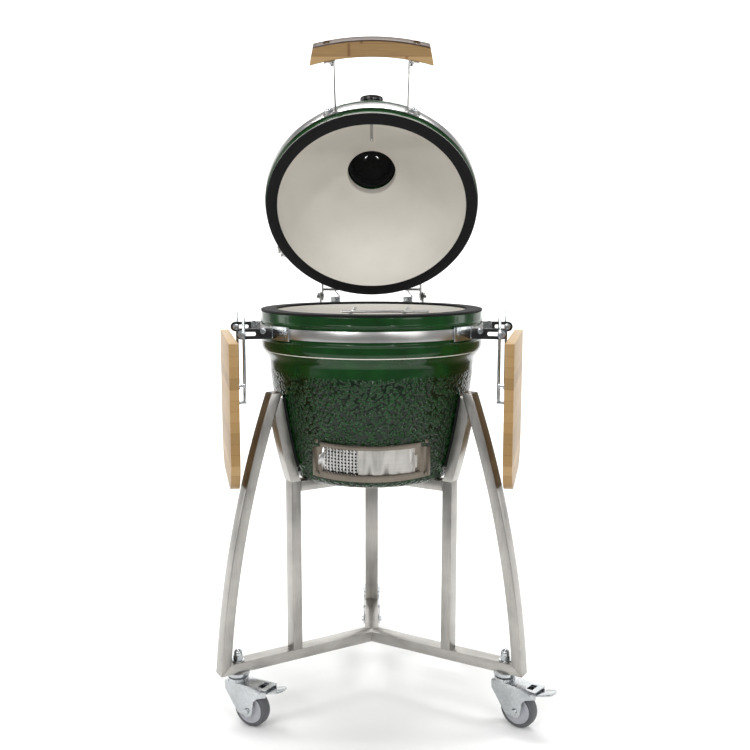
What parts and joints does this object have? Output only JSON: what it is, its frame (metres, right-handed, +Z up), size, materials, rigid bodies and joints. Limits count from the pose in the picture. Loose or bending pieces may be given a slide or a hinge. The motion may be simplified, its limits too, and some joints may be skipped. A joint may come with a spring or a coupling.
{
  "type": "kamado charcoal grill",
  "caption": "Ceramic kamado grill with a hinged domed lid, set in a three-legged steel cart on swivel casters, with folding bamboo side shelves and a sliding draught door.",
  "frame": {"origin": "point of the floor straight under the bowl's axis", "axes": "+Z up, the draught door and the lid's handle face -Y, +X to the right as seen from the front"},
  "size_m": [0.698, 0.588, 1.3604],
  "materials": {
    "glazed_ceramic": "dark green glaze outside, cream inside",
    "fired_clay": "matt fired clay",
    "felt": "pressed black felt",
    "stainless": "satin stainless steel",
    "zinc_steel": "bright plated steel",
    "cast_iron": "black cast iron",
    "black_steel": "black powder coat",
    "bamboo": "lacquered laminated bamboo",
    "tyre_rubber": "grey thermoplastic rubber",
    "core_plastic": "grey moulded plastic"
  },
  "bodies": {
    "stand": {"bowl": "glazed_ceramic", "bowl_gasket": "felt", "bowl_band": "stainless", "firebox": "fired_clay", "fire_ring": "fired_clay", "charcoal_grate": "cast_iron", "draft_frame": "stainless", "hinge_lower": "stainless", "hinge_springs": "zinc_steel", "outer_leg_left": "stainless", "outer_leg_right": "stainless", "outer_leg_rear": "stainless", "inner_leg_left": "stainless", "inner_leg_right": "stainless", "inner_leg_rear": "stainless", "base_rail_left": "stainless", "base_rail_right": "stainless", "base_rail_rear": "stainless", "leg_posts": "stainless", "support_bars": "stainless", "bowl_pads": "felt", "cap_nuts": "zinc_steel", "swivel_heads": "zinc_steel", "shelf_brackets": "black_steel", "bracket_saddles": "zinc_steel"},
    "lid": {"lid_dome": "glazed_ceramic", "lid_gasket": "felt", "lid_band": "stainless", "hinge_upper": "stainless", "handle_bar": "bamboo", "handle_arms": "stainless", "handle_bolts": "zinc_steel", "dial_case": "stainless", "dial_stem": "stainless", "vent_base": "cast_iron"},
    "needle": {"dial_needle": "black_steel"},
    "cap": {"vent_cap": "cast_iron"},
    "damper": {"vent_wheel": "cast_iron"},
    "screen": {"draft_screen": "stainless"},
    "door": {"draft_door": "stainless"},
    "grate": {"cooking_grate": "stainless"},
    "grate_lifter": {"grate_handle": "stainless"},
    "shelf_left": {"shelf_board_left": "bamboo", "shelf_struts_left": "zinc_steel", "shelf_pins_left": "zinc_steel"},
    "shelf_right": {"shelf_board_right": "bamboo", "shelf_struts_right": "zinc_steel", "shelf_pins_right": "zinc_steel"},
    "caster_left": {"fork_left": "zinc_steel"},
    "wheel_left": {"wheel_core_left": "core_plastic", "tyre_left": "tyre_rubber"},
    "brake_left": {"brake_pedal_left": "zinc_steel"},
    "caster_right": {"fork_right": "zinc_steel"},
    "wheel_right": {"wheel_core_right": "core_plastic", "tyre_right": "tyre_rubber"},
    "brake_right": {"brake_pedal_right": "zinc_steel"},
    "caster_rear": {"fork_rear": "zinc_steel"},
    "wheel_rear": {"wheel_core_rear": "core_plastic", "tyre_rear": "tyre_rubber"},
    "brake_rear": {"brake_pedal_rear": "zinc_steel"}
  },
  "joints": [
    {"name": "lid_hinge", "type": "hinge", "parent": "stand", "child": "lid", "pos_m": [0, 0.24, 0.846], "axis": [1, 0, 0], "range_deg": [0, 55], "deforming": ["hinge_springs"]},
    {"name": "cap_swing", "type": "hinge", "parent": "lid", "child": "cap", "pos_m": [0, 0.30092, 1.09619], "axis": [0, 0.8192, 0.5736], "range_deg": [0, 110]},
    {"name": "damper_turn", "type": "hinge", "parent": "cap", "child": "damper", "pos_m": [0, 0.26486, 1.15639], "axis": [0, 0.8192, 0.5736], "range_deg": [-60, 60]},
    {"name": "needle_turn", "type": "hinge", "parent": "lid", "child": "needle", "pos_m": [0, 0.0946, 1.26008], "axis": [0, 0.1736, 0.9848], "range_deg": [-270, 0]},
    {"name": "door_slide", "type": "hinge", "parent": "stand", "child": "door", "pos_m": [0, 0, 0.5721], "axis": [0, -0.1392, 0.9903], "range_deg": [-22, 0]},
    {"name": "screen_slide", "type": "hinge", "parent": "stand", "child": "screen", "pos_m": [0, 0, 0.5721], "axis": [0, -0.1392, 0.9903], "range_deg": [0, 22]},
    {"name": "grate_lift", "type": "slide", "parent": "stand", "child": "grate", "axis": [0, 0, -1], "range_m": [-0.14, 0]},
    {"name": "grate_handle_fold", "type": "hinge", "parent": "grate", "child": "grate_lifter", "pos_m": [0, 0.01, 0.8056], "axis": [1, 0, 0], "range_deg": [-75, 75]},
    {"name": "shelf_fold_left", "type": "hinge", "parent": "stand", "child": "shelf_left", "pos_m": [-0.27144, -0.0577, 0.7915], "axis": [-0.2079, 0.9781, 0], "range_deg": [0, 90]},
    {"name": "shelf_fold_right", "type": "hinge", "parent": "stand", "child": "shelf_right", "pos_m": [0.27144, -0.0577, 0.7915], "axis": [-0.2079, -0.9781, 0], "range_deg": [0, 90]},
    {"name": "swivel_left", "type": "hinge", "parent": "stand", "child": "caster_left", "pos_m": [-0.27063, -0.15625, 0.09], "axis": [0, 0, 1], "continuous": true},
    {"name": "wheel_spin_left", "type": "hinge", "parent": "caster_left", "child": "wheel_left", "pos_m": [-0.2409, -0.17273, 0.0375], "axis": [0.4848, 0.8746, 0], "continuous": true},
    {"name": "brake_press_left", "type": "hinge", "parent": "caster_left", "child": "brake_left", "pos_m": [-0.21291, -0.18825, 0.08], "axis": [0.4848, 0.8746, 0], "range_deg": [0, 20]},
    {"name": "swivel_right", "type": "hinge", "parent": "stand", "child": "caster_right", "pos_m": [0.27063, -0.15625, 0.09], "axis": [0, 0, 1], "continuous": true},
    {"name": "wheel_spin_right", "type": "hinge", "parent": "caster_right", "child": "wheel_right", "pos_m": [0.29742, -0.17718, 0.0375], "axis": [0.6157, 0.788, 0], "continuous": true},
    {"name": "brake_press_right", "type": "hinge", "parent": "caster_right", "child": "brake_right", "pos_m": [0.32264, -0.19688, 0.08], "axis": [0.6157, 0.788, 0], "range_deg": [0, 20]},
    {"name": "swivel_rear", "type": "hinge", "parent": "stand", "child": "caster_rear", "pos_m": [0, 0.3125, 0.09], "axis": [0, 0, 1], "continuous": true},
    {"name": "wheel_spin_rear", "type": "hinge", "parent": "caster_rear", "child": "wheel_rear", "pos_m": [0, 0.2785, 0.0375], "axis": [1, 0, 0], "continuous": true},
    {"name": "brake_press_rear", "type": "hinge", "parent": "caster_rear", "child": "brake_rear", "pos_m": [0, 0.2465, 0.08], "axis": [1, 0, 0], "range_deg": [0, 20]}
  ]
}
